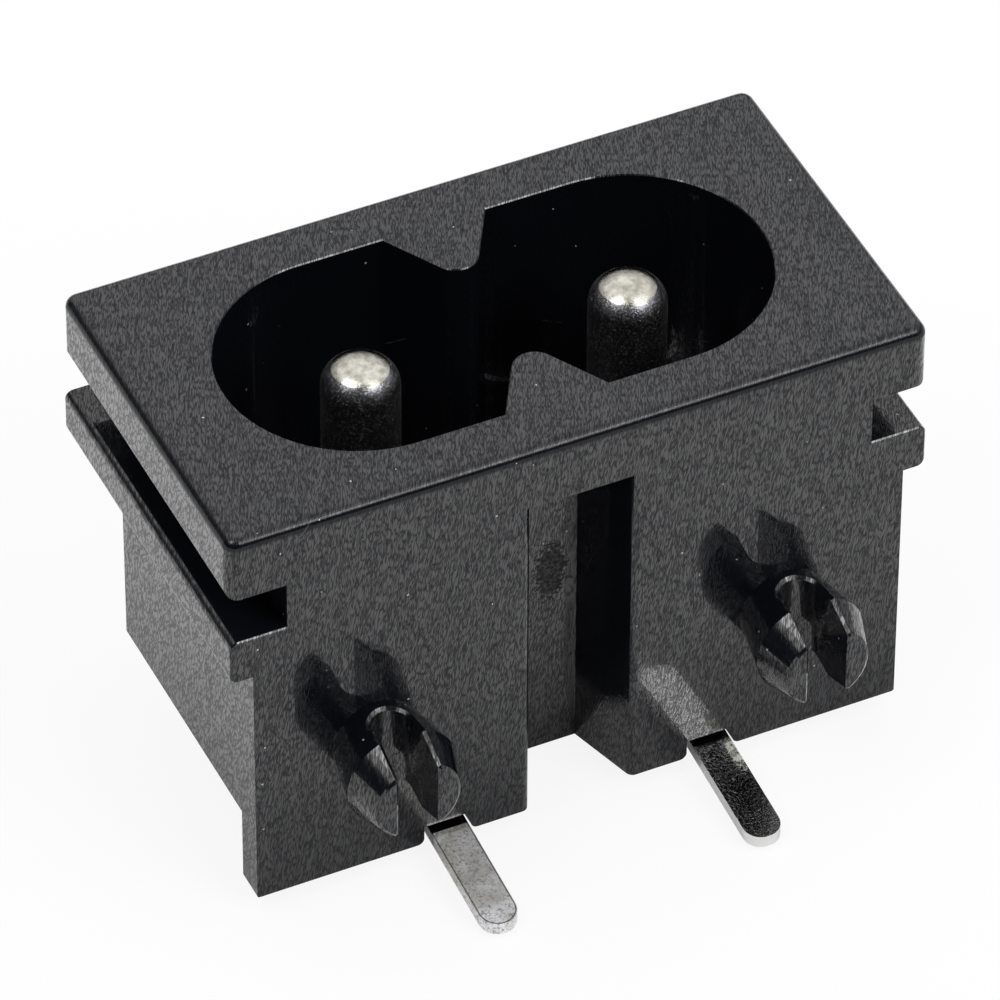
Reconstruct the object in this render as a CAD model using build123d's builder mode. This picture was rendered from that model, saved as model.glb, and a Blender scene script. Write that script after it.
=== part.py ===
from build123d import *
from math import radians, tan
import os

# Figure eight power inlet for a circuit board, with panel slots, split snap pegs and two pins.
# X runs along the row of pins, +Z points out of the mating face towards the plug, and -Y points
# at the board. The origin is midway between the pins, in the plane of the mating face.

# Contact pins
pin_pitch = 8.6
pin_diameter = 2.36
pin_setback = 0.37
pin_dome_height = 0.88
dome_fullness = 0.5523
seat_diameter = 2.8
seat_fit = 0.02
collar_diameter = 3.5
collar_height = 0.6
neck_diameter = 2.2
shoulder_drop = 1.71
spigot_diameter = 1.4
stake_diameter = 2.1
stake_height = 0.25

# Figure eight opening and the keys that give it its waist
opening_width = 17.2
opening_height = 8.42
opening_edge_chamfer = 0.035
cavity_depth = 10.0
key_base_width = 3.32
key_flank_angle = 30.0
key_tip_radius = 0.7

# Flange, panel slots and rib
flange_width = 22.3
flange_height = 12.0
flange_thickness = 2.18
flange_corner_radius = 0.4
flange_lip_radius = 0.33
flange_heel_radius = 0.22
panel_slot_width = 1.65
panel_slot_depth = 1.8
rib_thickness = 1.57
rib_end_radius = 0.26
rib_side_chamfer = 0.04

# Body block and the skirt below it
body_width = 20.9
rear_wall = 1.65
back_corner_chamfer = 2.5
skirt_wall = 1.03
skirt_drop = 2.65
skirt_corner_radius = 0.08
notch_corner_radius = 0.22

# V-shaped recess behind each key, open at the rear
recess_mouth = 3.36
recess_floor = 1.92
recess_depth = 2.35
recess_mouth_radius = 0.25

# Split snap pegs on the board side
peg_spacing = 13.2
peg_drop = 9.28
peg_root_radius = 1.4
peg_barb_radius = 1.75
peg_tip_radius = 1.33
peg_barb_reach = 1.85
peg_length = 3.0
peg_slot_width = 1.27
peg_slot_bottom = 0.43
peg_rim_chamfer = 0.11
peg_end_chamfer = 0.07

# Solder tails, stamped from strip
tail_thickness = 0.4
tail_width = 1.18
tail_reach = 4.0
tail_droop_angle = 6.5
tail_end_radius = 0.55
tail_eye_diameter = 3.2
tail_neck_radius = 0.6
tail_bend_distance = 1.8
tail_bend_radius = 0.8
tail_side_clearance = 0.17
tail_top_clearance = 0.22

# Places that follow from the sizes above
board_y = -flange_height / 2
pin_places = [(-pin_pitch / 2, 0), (pin_pitch / 2, 0)]
opening_edge_y = opening_height / 2
key_sharp_height = key_base_width / 2 / tan(radians(key_flank_angle))
core_width = flange_width - 2 * panel_slot_depth
rib_middle = -(flange_thickness + panel_slot_width + rib_thickness / 2)
rib_bottom = rib_middle - rib_thickness / 2
body_bottom = -(cavity_depth + rear_wall)
skirt_bottom = body_bottom - skirt_drop
recess_floor_y = board_y + recess_depth
shoulder_z = body_bottom - shoulder_drop
stake_z = shoulder_z - tail_thickness
pin_tip_z = -pin_setback
pin_dome_z = pin_tip_z - pin_dome_height
tail_slope = tan(radians(tail_droop_angle))
tail_tip_y = board_y - tail_reach
tail_tip_z = shoulder_z + (tail_tip_y + tail_bend_distance) * tail_slope
tail_board_z = shoulder_z + (board_y + tail_bend_distance) * tail_slope
notch_ceiling = tail_board_z + tail_top_clearance
notch_width = tail_width + 2 * tail_side_clearance

# Key: a V with a rounded tip, standing on the straight edge of the opening
with BuildSketch() as key_plan:
    with BuildLine():
        Polyline(
            (-key_base_width / 2, opening_edge_y),
            (0, opening_edge_y - key_sharp_height),
            (key_base_width / 2, opening_edge_y),
            close=True,
        )
    make_face()
    fillet(key_plan.vertices().sort_by(Axis.Y)[0], key_tip_radius)

# Figure eight: a slot with round ends, less the key at the back and its mirror image
with BuildSketch() as opening_plan:
    SlotOverall(opening_width, opening_height)
    add(key_plan.sketch, mode=Mode.SUBTRACT)
    mirror(key_plan.sketch, about=Plane.XZ, mode=Mode.SUBTRACT)

# Recess in the board side, which keeps the wall behind the key thin
with BuildSketch() as recess_plan:
    with BuildLine():
        Polyline(
            (-recess_mouth / 2, board_y),
            (-recess_floor / 2, recess_floor_y),
            (recess_floor / 2, recess_floor_y),
            (recess_mouth / 2, board_y),
            close=True,
        )
    make_face()

# Skirt: the board-side wall, folded round the recess
with BuildSketch() as skirt_plan:
    add(recess_plan.sketch)
    offset(amount=skirt_wall, kind=Kind.INTERSECTION)
    with Locations((0, board_y)):
        Rectangle(body_width, skirt_wall, align=(Align.CENTER, Align.MIN))
        Rectangle(body_width, flange_height, align=(Align.CENTER, Align.MAX), mode=Mode.SUBTRACT)

# Snap peg: a turned barb, split by a slot with a round bottom
with BuildPart() as peg:
    with BuildSketch(Plane.XZ):
        with BuildLine():
            Polyline(
                (0, 0),
                (peg_root_radius, 0),
                (peg_barb_radius, peg_barb_reach),
                (peg_tip_radius, peg_length),
                (0, peg_length),
                close=True,
            )
        make_face()
    revolve(axis=Axis.Z)
    with BuildSketch(Plane.XZ):
        with Locations((0, peg_slot_bottom + peg_slot_width / 2)):
            Circle(peg_slot_width / 2)
            Rectangle(peg_slot_width, peg_length, align=(Align.CENTER, Align.MIN))
    extrude(amount=2 * peg_barb_radius, both=True, mode=Mode.SUBTRACT)
    slot_sides = peg.faces().filter_by(Axis.X) + peg.faces().filter_by(GeomType.CYLINDER)
    chamfer(slot_sides.edges().filter_by(Axis.Y, reverse=True), peg_rim_chamfer)
    chamfer(peg.faces().group_by(Axis.Z)[-1].edges(), peg_end_chamfer)

# Rib: it stands behind the panel slots, with rounded ends
with BuildPart() as rib:
    with BuildSketch(Plane.XZ.offset(board_y)):
        with Locations((0, rib_middle)):
            RectangleRounded(flange_width, rib_thickness, rib_end_radius)
    extrude(amount=flange_height)
    chamfer(rib.faces().filter_by(Axis.Y).edges(), rib_side_chamfer)

# Housing: the one moulding that holds everything above
with BuildPart() as housing:
    # Flange, with its heels rounded at the two ends
    with BuildSketch():
        RectangleRounded(flange_width, flange_height, flange_corner_radius)
    extrude(amount=-flange_thickness)
    with BuildSketch(Plane.XZ) as heel_plan:
        Rectangle(flange_width, 2 * flange_thickness)
        fillet(heel_plan.vertices(), flange_heel_radius)
    extrude(amount=flange_height, both=True, mode=Mode.INTERSECT)
    fillet(housing.faces().sort_by(Axis.Z)[-1].edges(), flange_lip_radius)

    # Core: it joins flange and rib, and the panel slots are left free at its two ends
    with BuildSketch(Plane.XY.offset(-flange_thickness / 2)):
        Rectangle(core_width, flange_height)
    extrude(amount=rib_bottom + flange_thickness / 2)
    add(rib.part)

    # Body block, narrower than the flange, without its two back corners
    with BuildSketch(Plane.XY.offset(rib_middle)) as body_plan:
        Rectangle(body_width, flange_height)
        chamfer(body_plan.vertices().group_by(Axis.Y)[-1], back_corner_chamfer)
    extrude(amount=body_bottom - rib_middle)
    with BuildSketch(Plane.XY.offset(body_bottom)):
        add(skirt_plan.sketch)
    extrude(amount=-skirt_drop)

    # Figure eight cavity with a broken edge
    with BuildSketch():
        add(opening_plan.sketch)
    extrude(amount=-cavity_depth, mode=Mode.SUBTRACT)
    chamfer(housing.faces().sort_by(Axis.Z)[-1].inner_wires().edges(), opening_edge_chamfer)

    # Recess behind each key, from under the flange to the rear end
    with BuildSketch(Plane.XY.offset(-flange_thickness)):
        add(recess_plan.sketch)
        mirror(recess_plan.sketch, about=Plane.XZ)
    extrude(amount=skirt_bottom, mode=Mode.SUBTRACT)
    middle_edges = housing.edges().filter_by(Axis.Z).filter_by_position(Axis.X, -recess_mouth, recess_mouth)
    fillet(middle_edges.group_by(Axis.Y)[0] + middle_edges.group_by(Axis.Y)[-1], recess_mouth_radius)

    # Holes in the rear wall for the seats of the pins
    with BuildSketch(Plane.XY.offset(-cavity_depth)):
        with Locations(*pin_places):
            Circle(seat_diameter / 2 + seat_fit)
    extrude(amount=-rear_wall, mode=Mode.SUBTRACT)

    # Notches in the skirt, where the solder tails leave
    with BuildSketch(Plane.XZ.offset(-board_y)):
        with Locations(*[(x, notch_ceiling) for x, y in pin_places]):
            Rectangle(notch_width, skirt_drop, align=(Align.CENTER, Align.MAX))
    extrude(amount=-skirt_wall, mode=Mode.SUBTRACT)

    # Rounded corners along the lower edge of the skirt, smaller at its two ends
    skirt_corners = housing.edges().filter_by(Axis.Y).group_by(Axis.Z)[0].sort_by(Axis.X)
    fillet(skirt_corners[1:-1], notch_corner_radius)
    skirt_ends = housing.edges().filter_by(Axis.Y).group_by(Axis.Z)[0].sort_by(Axis.X)
    fillet([skirt_ends[0], skirt_ends[-1]], skirt_corner_radius)

    # Snap pegs on the board side
    peg_seats = [
        Plane(origin=(x, board_y, -peg_drop), x_dir=(1, 0, 0), z_dir=(0, -1, 0))
        for x in (-peg_spacing / 2, peg_spacing / 2)
    ]
    with Locations(*peg_seats):
        add(peg.part)

# Contact pin: domed end, plain shank, thicker seat in the rear wall, collar, neck, staked spigot
with BuildPart() as pin:
    with BuildSketch(Plane.XZ):
        with BuildLine():
            Bezier(
                (pin_diameter / 2, pin_dome_z),
                (pin_diameter / 2, pin_dome_z + dome_fullness * pin_dome_height),
                (dome_fullness * pin_diameter / 2, pin_tip_z),
                (0, pin_tip_z),
            )
            Polyline(
                (pin_diameter / 2, pin_dome_z),
                (pin_diameter / 2, -cavity_depth),
                (seat_diameter / 2, -cavity_depth),
                (seat_diameter / 2, body_bottom),
                (collar_diameter / 2, body_bottom),
                (collar_diameter / 2, body_bottom - collar_height),
                (neck_diameter / 2, body_bottom - collar_height),
                (neck_diameter / 2, shoulder_z),
                (spigot_diameter / 2, shoulder_z),
                (spigot_diameter / 2, stake_z),
                (stake_diameter / 2, stake_z),
                (spigot_diameter / 2, stake_z - stake_height),
                (0, stake_z - stake_height),
                (0, pin_tip_z),
            )
        make_face()
    revolve(axis=Axis.Z)

# Solder tail: an eye round the spigot and a narrow strip that leans down towards the board
with BuildPart() as tail:
    with BuildSketch(Plane.YZ) as tail_side:
        with BuildLine():
            Polyline(
                (tail_eye_diameter / 2, shoulder_z),
                (-tail_bend_distance, shoulder_z),
                (tail_tip_y, tail_tip_z),
                (tail_tip_y, tail_tip_z - tail_thickness),
                (-tail_bend_distance, stake_z),
                (tail_eye_diameter / 2, stake_z),
                close=True,
            )
        make_face()
        fillet(tail_side.vertices().group_by(Axis.X)[1], tail_bend_radius)
    extrude(amount=tail_eye_diameter / 2, both=True)
    with BuildSketch(Plane.XY.offset(shoulder_z)) as tail_plan:
        with Locations((0, tail_tip_y)):
            Rectangle(tail_width, -tail_tip_y, align=(Align.CENTER, Align.MIN))
        fillet(tail_plan.vertices().group_by(Axis.Y)[0], tail_end_radius)
        Circle(tail_eye_diameter / 2)
        neck = tail_plan.vertices().filter_by_position(Axis.Y, -tail_eye_diameter / 2, -tail_width / 2)
        fillet(neck, tail_neck_radius)
        Circle(spigot_diameter / 2, mode=Mode.SUBTRACT)
    extrude(amount=-tail_tip_y, both=True, mode=Mode.INTERSECT)

os.makedirs("parts", exist_ok=True)
housing.part.label = "housing"
export_step(housing.part, "parts/housing.step")
for side, (x, y) in zip(("left", "right"), pin_places):
    placed_pin = pin.part.moved(Location((x, y, 0)))
    placed_pin.label = f"pin_{side}"
    export_step(placed_pin, f"parts/pin_{side}.step")
    placed_tail = tail.part.moved(Location((x, y, 0)))
    placed_tail.label = f"solder_tail_{side}"
    export_step(placed_tail, f"parts/solder_tail_{side}.step")
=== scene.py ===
import bpy
from math import radians
from mathutils import Matrix, Vector


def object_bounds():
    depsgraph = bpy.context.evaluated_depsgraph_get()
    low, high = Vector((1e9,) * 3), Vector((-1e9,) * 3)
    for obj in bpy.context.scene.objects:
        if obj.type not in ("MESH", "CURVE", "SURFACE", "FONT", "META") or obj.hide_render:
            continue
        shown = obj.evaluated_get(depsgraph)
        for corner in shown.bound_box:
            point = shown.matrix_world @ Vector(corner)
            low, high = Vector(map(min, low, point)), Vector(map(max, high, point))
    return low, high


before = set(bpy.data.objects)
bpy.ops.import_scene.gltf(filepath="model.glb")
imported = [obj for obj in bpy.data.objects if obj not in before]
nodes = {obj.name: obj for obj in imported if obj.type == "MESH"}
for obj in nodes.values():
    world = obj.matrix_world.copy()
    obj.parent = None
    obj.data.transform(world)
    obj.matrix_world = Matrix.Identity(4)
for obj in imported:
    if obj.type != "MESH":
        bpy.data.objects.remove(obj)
cad_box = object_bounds()

# Housing: one moulding in black glass-filled thermoplastic. Each face has a fine drawn-out grain
# from the spark-finished mould, and handling has left pale specks and a few hairline scratches.
# An oval scuff marks the floor of the recess, where the part was pushed out of the mould.
moulding_black = (0.004, 0.0046, 0.0064, 1)
moulding_ior = 1.3
moulding_roughness = (0.04, 0.1)
sheen_patch_scale = 260
skin_ior = 1.66
skin_roughness = 0.04

grain_turn = radians(24.8)
grain_lean = radians(-9)
grain_across = 20000
grain_along = 3000
grain_detail = 0.6
grain_roughness = 0.6
grain_depth = 0.0000022
hairline_core = 0.01
hairline_edge = 0.15
sway_scale = 1300
sway_reach = 0.00009

# Painted shade: gloss drops in a band just under the top edge, darkening it like the dark
# reflection on the rounded lip
painted_lip_shade_z = -0.0002
painted_lip_shade_core = 0.00009
painted_lip_shade_edge = 0.0002
painted_lip_shade_gloss = 0.15
# Painted shade: gloss fades lower down, darkening reflections like the shaded floor next to the
# part
painted_low_shade_top_z = -0.0085
painted_low_shade_darkest_z = painted_low_shade_top_z - 0.005
painted_low_shade_gloss = 0.66

mark_grey = (0.42, 0.42, 0.42, 1)
speck_scale = 1500
speck_size = 0.048
speck_left_out = 0.6
speck_wobble_scale = 14000
speck_wobble_reach = 0.00007
scratch_scale = 70
scratch_width = 0.0009
scratch_break_scale = 700
scratch_break = (0.58, 0.7)
scratch_strength = 0.2

scuff_black = (0.001, 0.001, 0.0015, 1)
scuff_grey = (0.05, 0.05, 0.053, 1)
scuff_centre = (0.0001, -0.00365, -0.0073)
scuff_radii = (0.00055, 0.0002, 0.0012)
scuff_edge = (1.9, 1.65)
scuff_raggedness = 1.8
scuff_cut_scale = 9000
scuff_cut_share = (0.42, 0.66)
scuff_gloss = 0.05
scuff_roughness = 0.5


def finish(name):
    material = bpy.data.materials.new(name)
    material.use_nodes = True
    tree = material.node_tree
    return material, tree, tree.nodes["Principled BSDF"]


def feed(tree, socket, source):
    if isinstance(source, bpy.types.NodeSocket):
        tree.links.new(source, socket)
    else:
        socket.default_value = source


def axes(tree, place):
    parts = tree.nodes.new("ShaderNodeSeparateXYZ")
    feed(tree, parts.inputs["Vector"], place)
    return parts.outputs


def cloud(tree, place, scale, detail=2):
    noise = tree.nodes.new("ShaderNodeTexNoise")
    feed(tree, noise.inputs["Vector"], place)
    feed(tree, noise.inputs["Scale"], scale)
    feed(tree, noise.inputs["Detail"], detail)
    return noise


def level(tree, operation, *terms):
    step = tree.nodes.new("ShaderNodeMath")
    step.operation = operation
    for socket, term in zip(step.inputs, terms):
        feed(tree, socket, term)
    return step.outputs[0]


def vector(tree, operation, first, second=(0, 0, 0)):
    step = tree.nodes.new("ShaderNodeVectorMath")
    step.operation = operation
    feed(tree, step.inputs[0], first)
    feed(tree, step.inputs[1], second)
    return step.outputs["Value" if operation in ("LENGTH", "DOT_PRODUCT") else "Vector"]


def fade(tree, value, start=0, end=1, low=0, high=1, smooth=False):
    span = tree.nodes.new("ShaderNodeMapRange")
    span.interpolation_type = "SMOOTHSTEP" if smooth else "LINEAR"
    feed(tree, span.inputs["Value"], value)
    feed(tree, span.inputs["From Min"], start)
    feed(tree, span.inputs["From Max"], end)
    feed(tree, span.inputs["To Min"], low)
    feed(tree, span.inputs["To Max"], high)
    return span.outputs["Result"]


def blend(tree, share, first, second, kind="RGBA"):
    mix = tree.nodes.new("ShaderNodeMix")
    mix.data_type = kind
    feed(tree, mix.inputs["Factor"], share)
    feed(tree, mix.inputs["A"], first)
    feed(tree, mix.inputs["B"], second)
    return mix.outputs["Result"]


def relief(tree, height, depth):
    bump = tree.nodes.new("ShaderNodeBump")
    feed(tree, bump.inputs["Strength"], 1)
    feed(tree, bump.inputs["Distance"], depth)
    feed(tree, bump.inputs["Height"], height)
    return bump


def dress(piece, material):
    nodes[piece].data.materials.clear()
    nodes[piece].data.materials.append(material)


black_plastic, plastic, plastic_shader = finish("black_plastic")
plastic_shader.inputs["IOR"].default_value = moulding_ior
plastic_shader.inputs["Coat IOR"].default_value = skin_ior
plastic_shader.inputs["Coat Roughness"].default_value = skin_roughness
on_plastic = plastic.nodes.new("ShaderNodeTexCoord").outputs["Object"]
plastic_z = axes(plastic, on_plastic)["Z"]

# Grain: sunk hairlines where a drawn-out cloud passes its middle level
grain_line = plastic.nodes.new("ShaderNodeMapping")
grain_line.inputs["Rotation"].default_value = (0, grain_lean, grain_turn)
feed(plastic, grain_line.inputs["Vector"], on_plastic)
sway = cloud(plastic, on_plastic, sway_scale, detail=1).outputs["Color"]
sway = vector(plastic, "MULTIPLY", sway, (sway_reach, sway_reach, sway_reach))
swayed = vector(plastic, "ADD", grain_line.outputs["Vector"], sway)
drawn_out = vector(plastic, "MULTIPLY", swayed, (grain_across, grain_along, grain_along))
streaks = cloud(plastic, drawn_out, 1, grain_detail)
streaks.inputs["Roughness"].default_value = grain_roughness
from_middle = level(plastic, "SUBTRACT", streaks.outputs["Fac"], 0.5)
from_middle = level(plastic, "ABSOLUTE", from_middle)
between_lines = fade(plastic, from_middle, hairline_core, hairline_edge)
grain_relief = relief(plastic, between_lines, grain_depth)
feed(plastic, plastic_shader.inputs["Normal"], grain_relief.outputs["Normal"])

# Scuff: an oval with a ragged edge
scuff_place = vector(plastic, "SUBTRACT", on_plastic, scuff_centre)
scuff_place = vector(plastic, "DIVIDE", scuff_place, scuff_radii)
scuff_cuts = cloud(plastic, on_plastic, scuff_cut_scale).outputs["Fac"]
scuff_reach = vector(plastic, "LENGTH", scuff_place)
scuff_reach = level(plastic, "MULTIPLY_ADD", scuff_cuts, scuff_raggedness, scuff_reach)
scuff = fade(plastic, scuff_reach, *scuff_edge, smooth=True)

# Gloss: less in the hairlines and in the scuff, and, as painted shade, less in a band under the lip
# and lower down towards the tails
# Painted shade: the band under the lip loses gloss, standing in for the rounded lip's dark
# reflection of the room
from_painted_lip_shade = level(plastic, "SUBTRACT", plastic_z, painted_lip_shade_z)
from_painted_lip_shade = level(plastic, "ABSOLUTE", from_painted_lip_shade)
lip_gloss_with_painted_shade = fade(plastic, from_painted_lip_shade, painted_lip_shade_core, painted_lip_shade_edge, low=painted_lip_shade_gloss)
# Painted shade: less gloss lower down, towards the tails, standing in for the darker floor
# reflected near the part
painted_low_shade = fade(plastic, plastic_z, painted_low_shade_darkest_z, painted_low_shade_top_z, low=painted_low_shade_gloss)
painted_shade_gloss = level(plastic, "MULTIPLY", lip_gloss_with_painted_shade, painted_low_shade)
grain_and_painted_shade_gloss = level(plastic, "MULTIPLY", painted_shade_gloss, between_lines)
gloss_left = fade(plastic, scuff, low=1, high=scuff_gloss)
gloss = level(plastic, "MULTIPLY", gloss_left, grain_and_painted_shade_gloss)
feed(plastic, plastic_shader.inputs["Coat Weight"], gloss)

# Pale marks: specks at a few of the cell centres, and broken lines along one level of a cloud
speck_wobble = cloud(plastic, on_plastic, speck_wobble_scale).outputs["Color"]
wobble_reach = (speck_wobble_reach, speck_wobble_reach, speck_wobble_reach)
speck_wobble = vector(plastic, "MULTIPLY", speck_wobble, wobble_reach)
speck_cells = plastic.nodes.new("ShaderNodeTexVoronoi")
speck_cells.inputs["Scale"].default_value = speck_scale
speck_place = vector(plastic, "ADD", on_plastic, speck_wobble)
feed(plastic, speck_cells.inputs["Vector"], speck_place)
speck_pick = plastic.nodes.new("ShaderNodeSeparateColor")
feed(plastic, speck_pick.inputs["Color"], speck_cells.outputs["Color"])
speck_near = level(plastic, "LESS_THAN", speck_cells.outputs["Distance"], speck_size)
speck_few = level(plastic, "GREATER_THAN", speck_pick.outputs["Red"], speck_left_out)
specks = level(plastic, "MULTIPLY", speck_near, speck_few)
scratch_wander = cloud(plastic, on_plastic, scratch_scale, detail=0).outputs["Fac"]
scratch_line = level(plastic, "COMPARE", scratch_wander, 0.5, scratch_width)
scratch_breaks = cloud(plastic, on_plastic, scratch_break_scale).outputs["Fac"]
scratch_kept = fade(plastic, scratch_breaks, *scratch_break, high=scratch_strength)
scratches = level(plastic, "MULTIPLY", scratch_line, scratch_kept)
pale_marks = level(plastic, "MAXIMUM", specks, scratches)

scuff_cut = fade(plastic, scuff_cuts, *scuff_cut_share)
scuff_colour = blend(plastic, scuff_cut, scuff_black, scuff_grey)
scuffed_black = blend(plastic, scuff, moulding_black, scuff_colour)
marked_black = blend(plastic, pale_marks, scuffed_black, mark_grey)
feed(plastic, plastic_shader.inputs["Base Color"], marked_black)
sheen_patches = cloud(plastic, on_plastic, sheen_patch_scale).outputs["Fac"]
sheen = fade(plastic, sheen_patches, 0, 1, *moulding_roughness)
scuffed_sheen = blend(plastic, scuff, sheen, scuff_roughness, kind="FLOAT")
feed(plastic, plastic_shader.inputs["Roughness"], scuffed_sheen)
dress("housing", black_plastic)

# Contact pins: turned brass rod with bright nickel plating, pushed in from the rear until the
# collar meets the rear wall. The domed ends are bright inside a tool ring and dull outside it,
# with fine pits all over.
pin_axis_x = 0.0043
ring_radius = 0.00086
ring_inner = ring_radius - 0.00003
ring_outer = ring_radius + 0.00004
rim_fall_depth = 0.2
pit_depth = 0.000006
pin_patch_scale = 3800
pin_fleck_scale = 16000
pin_fleck_limit = 0.5
bright_nickel = ((0.76, 0.74, 0.66, 1), (0.42, 0.4, 0.34, 1))
dull_nickel = ((0.27, 0.27, 0.3, 1), (0.72, 0.72, 0.68, 1))
bright_nickel_roughness = (0.07, 0.2)
dull_nickel_roughness = (0.3, 0.5)

patch_level = (0.35, 0.65)
fleck_full = 0.72
fleck_distortion = 1

plating_marks = bpy.data.node_groups.new("plating_marks", "ShaderNodeTree")
for name in ("Patch Scale", "Fleck Scale", "Fleck Limit"):
    plating_marks.interface.new_socket(name, in_out="INPUT", socket_type="NodeSocketFloat")
for name in ("Patches", "Flecks", "Height"):
    plating_marks.interface.new_socket(name, in_out="OUTPUT", socket_type="NodeSocketFloat")
marks_in = plating_marks.nodes.new("NodeGroupInput").outputs
marks_out = plating_marks.nodes.new("NodeGroupOutput").inputs
on_plating = plating_marks.nodes.new("ShaderNodeTexCoord").outputs["Object"]
patch_cloud = cloud(plating_marks, on_plating, marks_in["Patch Scale"], detail=3)
patches = fade(plating_marks, patch_cloud.outputs["Fac"], *patch_level)
fleck_cloud = cloud(plating_marks, on_plating, marks_in["Fleck Scale"])
fleck_cloud.inputs["Distortion"].default_value = fleck_distortion
flecks = fade(plating_marks, fleck_cloud.outputs["Fac"], marks_in["Fleck Limit"], fleck_full)
feed(plating_marks, marks_out["Patches"], patches)
feed(plating_marks, marks_out["Flecks"], flecks)
feed(plating_marks, marks_out["Height"], fleck_cloud.outputs["Fac"])


def plating(tree, patch_scale, fleck_scale, fleck_limit):
    marks = tree.nodes.new("ShaderNodeGroup")
    marks.node_tree = plating_marks
    marks.inputs["Patch Scale"].default_value = patch_scale
    marks.inputs["Fleck Scale"].default_value = fleck_scale
    marks.inputs["Fleck Limit"].default_value = fleck_limit
    return marks.outputs


def distance(tree, x, y):
    across = tree.nodes.new("ShaderNodeCombineXYZ")
    feed(tree, across.inputs["X"], x)
    feed(tree, across.inputs["Y"], y)
    return vector(tree, "LENGTH", across.outputs["Vector"])


nickel_plate, nickel, nickel_shader = finish("nickel_plate")
nickel_shader.inputs["Metallic"].default_value = 1
nickel_marks = plating(nickel, pin_patch_scale, pin_fleck_scale, pin_fleck_limit)
nickel_axes = axes(nickel, nickel.nodes.new("ShaderNodeTexCoord").outputs["Object"])
from_axis = level(nickel, "ABSOLUTE", nickel_axes["X"])
from_axis = level(nickel, "SUBTRACT", from_axis, pin_axis_x)
end_radius = distance(nickel, from_axis, nickel_axes["Y"])
outside_ring = fade(nickel, end_radius, ring_inner, ring_outer)
bright_colour = blend(nickel, nickel_marks["Patches"], *bright_nickel)
dull_colour = blend(nickel, nickel_marks["Flecks"], *dull_nickel)
pin_colour = blend(nickel, outside_ring, bright_colour, dull_colour)
feed(nickel, nickel_shader.inputs["Base Color"], pin_colour)
bright_sheen = fade(nickel, nickel_marks["Patches"], 0, 1, *bright_nickel_roughness)
dull_sheen = fade(nickel, nickel_marks["Flecks"], 0, 1, *dull_nickel_roughness)
pin_sheen = blend(nickel, outside_ring, bright_sheen, dull_sheen, kind="FLOAT")
feed(nickel, nickel_shader.inputs["Roughness"], pin_sheen)

# Past the ring the dome falls away more steeply
past_ring = level(nickel, "SUBTRACT", end_radius, ring_radius)
past_ring = level(nickel, "MAXIMUM", past_ring, 0)
rim_fall = relief(nickel, past_ring, rim_fall_depth)
rim_fall.invert = True
pits = relief(nickel, nickel_marks["Height"], pit_depth)
feed(nickel, pits.inputs["Normal"], rim_fall.outputs["Normal"])
feed(nickel, nickel_shader.inputs["Normal"], pits.outputs["Normal"])
dress("pin_left", nickel_plate)
dress("pin_right", nickel_plate)

# Solder tails: stamped from tinned brass strip and staked to the rear ends of the pins. The left
# one has dulled, with brown smudges, and has painted shade in a dark line along its edge, standing
# in for the dark reflection of a rounded edge. The right one is still bright, but for dull flecks
# and a rubbed strip. Both are clean where they leave the notch.
clean_until_y = -0.00628
marked_from_y = clean_until_y - 0.00004
smudge_scale = 1300
tail_fleck_scale = 10500

dull_fleck_limit = 0.5
dull_tin_colours = ((0.97, 0.97, 1, 1), (0.74, 0.72, 0.67, 1))
dull_fleck_brown = (0.36, 0.35, 0.31, 1)
dull_tin_roughness = (0.62, 0.45)
clean_tin_roughness = 0.06
dull_tin_depth = 0.000008
left_tail_x = -0.0043
round_end_y = -0.00941
# Painted shade: a dark line along the left tail's edges and round end
painted_edge_shade_from_middle = 0.00056
painted_edge_shade_core = 0.000008
painted_edge_shade_edge = 0.000028
painted_edge_shade_strength = 0.85
painted_edge_shade_black = (0.06, 0.06, 0.065, 1)

bright_fleck_limit = 0.55
bright_tin_colours = ((0.78, 0.78, 0.77, 1), (0.97, 0.96, 0.88, 1))
bright_tin_roughness = (0.1, 0.7)
bright_tin_depth = 0.00001
rubbed_x = (0.00452, 0.00464)
rubbed_y = (-0.0078, -0.007)
rubbed_strength = 0.82
spot_contrast = 2.2
spot_level = (1.38, 2)

dull_tin, dull, dull_shader = finish("dull_tin")
dull_shader.inputs["Metallic"].default_value = 1
dull_marks = plating(dull, smudge_scale, tail_fleck_scale, dull_fleck_limit)
dull_axes = axes(dull, dull.nodes.new("ShaderNodeTexCoord").outputs["Object"])
dulled = fade(dull, dull_axes["Y"], clean_until_y, marked_from_y)
smudged_tin = blend(dull, dull_marks["Patches"], *dull_tin_colours)
flecked_tin = blend(dull, dull_marks["Flecks"], smudged_tin, dull_fleck_brown)
# Painted shade: a dark line near the tail's edges and round end, in place of the rounded edge's
# dark reflection
across_tail = level(dull, "SUBTRACT", dull_axes["X"], left_tail_x)
past_round = level(dull, "SUBTRACT", dull_axes["Y"], round_end_y)
past_round = level(dull, "MINIMUM", past_round, 0)
from_painted_edge_shade = distance(dull, across_tail, past_round)
from_painted_edge_shade = level(dull, "SUBTRACT", from_painted_edge_shade, painted_edge_shade_from_middle)
from_painted_edge_shade = level(dull, "ABSOLUTE", from_painted_edge_shade)
painted_edge_shade = fade(dull, from_painted_edge_shade, painted_edge_shade_core, painted_edge_shade_edge, painted_edge_shade_strength, 0)
tin_with_painted_edge_shade = blend(dull, painted_edge_shade, flecked_tin, painted_edge_shade_black)
feed(dull, dull_shader.inputs["Base Color"], tin_with_painted_edge_shade)
smudged_sheen = fade(dull, dull_marks["Patches"], 0, 1, *dull_tin_roughness)
dull_tin_sheen = blend(dull, dulled, clean_tin_roughness, smudged_sheen, kind="FLOAT")
feed(dull, dull_shader.inputs["Roughness"], dull_tin_sheen)
dull_relief = relief(dull, dull_marks["Height"], dull_tin_depth)
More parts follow.
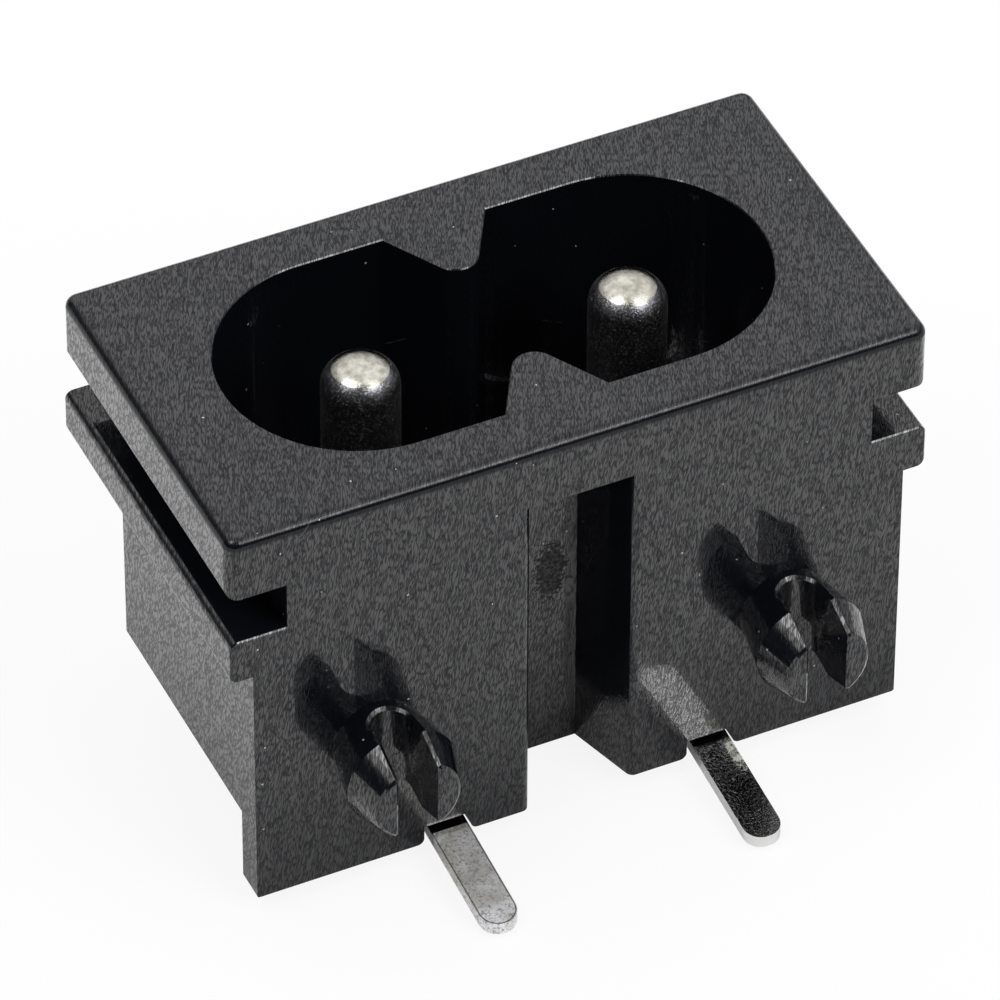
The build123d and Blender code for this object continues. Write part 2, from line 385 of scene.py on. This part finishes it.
feed(dull, dull_relief.inputs["Strength"], dulled)
feed(dull, dull_shader.inputs["Normal"], dull_relief.outputs["Normal"])
dress("solder_tail_left", dull_tin)

bright_tin, bright, bright_shader = finish("bright_tin")
bright_shader.inputs["Metallic"].default_value = 1
bright_marks = plating(bright, smudge_scale, tail_fleck_scale, bright_fleck_limit)
bright_axes = axes(bright, bright.nodes.new("ShaderNodeTexCoord").outputs["Object"])
rubbed_side = fade(bright, bright_axes["X"], *rubbed_x, high=rubbed_strength)
rubbed_end = fade(bright, bright_axes["Y"], *rubbed_y)
rubbed = level(bright, "MULTIPLY", rubbed_side, rubbed_end)
spots = level(bright, "MULTIPLY_ADD", bright_marks["Height"], spot_contrast, rubbed)
spots = fade(bright, spots, *spot_level)
spots_from = fade(bright, bright_axes["Y"], clean_until_y, marked_from_y)
spots = level(bright, "MULTIPLY", spots, spots_from)
spotted_tin = blend(bright, spots, *bright_tin_colours)
feed(bright, bright_shader.inputs["Base Color"], spotted_tin)
spotted_sheen = fade(bright, spots, 0, 1, *bright_tin_roughness)
feed(bright, bright_shader.inputs["Roughness"], spotted_sheen)
bright_relief = relief(bright, bright_marks["Height"], bright_tin_depth)
feed(bright, bright_shader.inputs["Normal"], bright_relief.outputs["Normal"])
dress("solder_tail_right", bright_tin)

# Floor: a matt white sheet under the part, which takes a faint shadow. The camera sees it nearly
# as plain white, and reflections see a little of that white.
floor_size = 3
floor_z = cad_box[0].z - 0.0002
sheet_white = (0.9, 0.9, 0.9, 1)
sheet_roughness = 0.9
plain_share_seen = 0.88
plain_share_reflected = 0.05

bpy.ops.object.select_all(action="DESELECT")
bpy.ops.mesh.primitive_plane_add(size=floor_size, location=(0, 0, 0))
floor = bpy.context.object
floor.name = "floor"
floor.data.transform(Matrix.Translation((0, 0, floor_z)))
white_sheet, sheet, sheet_shader = finish("white_sheet")
sheet_shader.inputs["Base Color"].default_value = sheet_white
sheet_shader.inputs["Roughness"].default_value = sheet_roughness
plain_white = sheet.nodes.new("ShaderNodeEmission")
plain_white.inputs["Strength"].default_value = 1
seen_by = sheet.nodes.new("ShaderNodeLightPath").outputs
reflected = level(sheet, "MULTIPLY", seen_by["Is Glossy Ray"], plain_share_reflected)
plain_share = level(sheet, "MULTIPLY_ADD", seen_by["Is Camera Ray"], plain_share_seen, reflected)
sheet_mix = sheet.nodes.new("ShaderNodeMixShader")
feed(sheet, sheet_mix.inputs["Fac"], plain_share)
feed(sheet, sheet_mix.inputs[1], sheet_shader.outputs["BSDF"])
feed(sheet, sheet_mix.inputs[2], plain_white.outputs["Emission"])
feed(sheet, sheet.nodes["Material Output"].inputs["Surface"], sheet_mix.outputs["Shader"])
floor.data.materials.append(white_sheet)

# Room: a pale tent above, behind and to the right, dark low down and round the camera, with a
# bright patch and a softbox on either side of the camera.
bright_side = (0.8, 0.6, 0)
bright_side_range = (-0.6, 0.55)
dark_cloth = (0.05, 0.05, 0.055, 1)
low_pale_cloth = (0.5, 0.5, 0.51, 1)
pale_cloth = (1.02, 1.02, 1.03, 1)
pale_cloth_lowered = 0.27
pale_cloth_height = (0.6, 0.82)
pure_white = (1, 1, 1, 1)
tent_patches = (
    ((0.34, -0.58, 0.74), (0.9, 0.95), 1.9),
    ((-0.56, -0.12, 0.82), (0.9, 0.95), 1.9),
    ((-0.19, -0.585, 0.788), (0.93, 0.965), 0.12),
)
softboxes = (
    ("right_softbox", Vector((0.162, -0.347, 0.321)), (0.22, 0.17), 0.6),
    ("left_softbox", Vector((-0.28, -0.06, 0.41)), (0.2, 0.16), 0.3),
)

room = bpy.data.worlds.new("light_tent")
bpy.context.scene.world = room
room.use_nodes = True
tent = room.node_tree
backdrop = tent.nodes["Background"]
backdrop.inputs["Strength"].default_value = 1
direction = tent.nodes.new("ShaderNodeTexCoord").outputs["Generated"]
to_bright_side = vector(tent, "DOT_PRODUCT", direction, bright_side)
to_bright_side = fade(tent, to_bright_side, *bright_side_range, smooth=True)
low_cloth = blend(tent, to_bright_side, dark_cloth, low_pale_cloth)
height = axes(tent, direction)["Z"]
height = level(tent, "MULTIPLY_ADD", to_bright_side, pale_cloth_lowered, height)
height = fade(tent, height, *pale_cloth_height, smooth=True)
cloth = blend(tent, height, low_cloth, pale_cloth)
for patch_direction, patch_edge, patch_brightness in tent_patches:
    patch = vector(tent, "DOT_PRODUCT", direction, patch_direction)
    patch = fade(tent, patch, *patch_edge, smooth=True)
    patch_colour = (patch_brightness, patch_brightness, patch_brightness, 1)
    cloth = blend(tent, patch, cloth, patch_colour)
seen_directly = tent.nodes.new("ShaderNodeLightPath").outputs["Is Camera Ray"]
cloth = blend(tent, seen_directly, cloth, pure_white)
feed(tent, backdrop.inputs["Color"], cloth)

for lamp_name, lamp_place, lamp_size, lamp_energy in softboxes:
    lamp = bpy.data.lights.new(lamp_name, "AREA")
    lamp.shape = "RECTANGLE"
    lamp.size = lamp_size[0]
    lamp.size_y = lamp_size[1]
    lamp.energy = lamp_energy
    softbox = bpy.data.objects.new(lamp_name, lamp)
    bpy.context.scene.collection.objects.link(softbox)
    facing = lamp_place.to_track_quat("Z", "Y").to_matrix().to_4x4()
    softbox.matrix_world = Matrix.Translation(lamp_place) @ facing

# Camera: a long lens, level with the left front corner and 43 degrees above the board side.
camera_place = Vector((-0.08727, -0.18550, 0.18086))
camera_aim = Vector((0.000093, -0.000205, -0.007359))
camera_roll = radians(0.225)
camera_data = bpy.data.cameras.new("camera")
camera_data.sensor_width = 36
camera_data.lens = 338.5
camera_data.clip_start = 0.01
camera_data.clip_end = 10
camera = bpy.data.objects.new("camera", camera_data)
bpy.context.scene.collection.objects.link(camera)
look = (camera_place - camera_aim).to_track_quat("Z", "Y").to_matrix().to_4x4()
camera.matrix_world = Matrix.Translation(camera_place) @ look @ Matrix.Rotation(camera_roll, 4, "Z")
bpy.context.scene.camera = camera
bpy.context.scene.view_settings.view_transform = "Standard"
